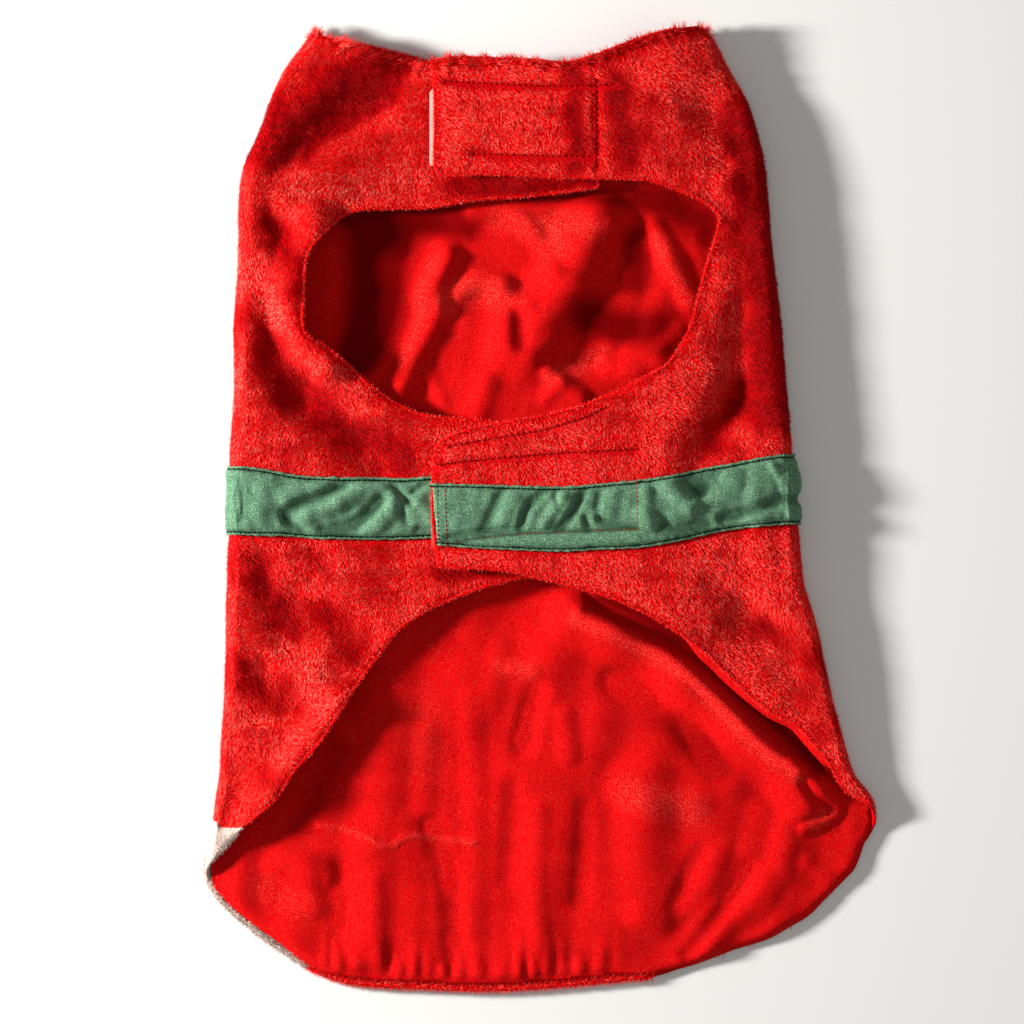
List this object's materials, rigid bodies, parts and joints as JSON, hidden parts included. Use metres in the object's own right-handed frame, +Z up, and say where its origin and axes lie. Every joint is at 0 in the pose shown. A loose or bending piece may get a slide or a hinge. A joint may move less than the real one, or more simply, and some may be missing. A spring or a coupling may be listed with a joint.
{
  "type": "dog coat laid flat",
  "caption": "Lined plush dog coat for Christmas, laid flat on its back: straps closed at neck and belly, open chest, satin belt band, rounded tail.",
  "frame": {"origin": "centre of the laid coat's outline, on the surface it lies on", "axes": "+Y from tail to neck, +X to the viewer's right, +Z up out of the surface"},
  "size_m": [0.338, 0.4822, 0.0201],
  "materials": {
    "red_plush": "short pile plush",
    "red_satin": "satin lining",
    "green_satin": "satin band",
    "white_plush": "short pile plush",
    "closure_tape": "hook and loop tape"
  },
  "bodies": {
    "root": {"back_shell": "red_plush", "left_front_shell": "red_plush", "right_front_shell": "red_plush", "corner_inset": "white_plush", "back_lining": "red_satin", "left_front_lining": "red_satin", "right_front_lining": "red_satin", "belt_left": "green_satin", "belt_right": "green_satin", "belt_under": "green_satin", "neck_loop_tape": "closure_tape", "neck_hook_tape": "closure_tape", "belly_loop_tape": "closure_tape", "belly_hook_tape": "closure_tape"}
  },
  "joints": []
}
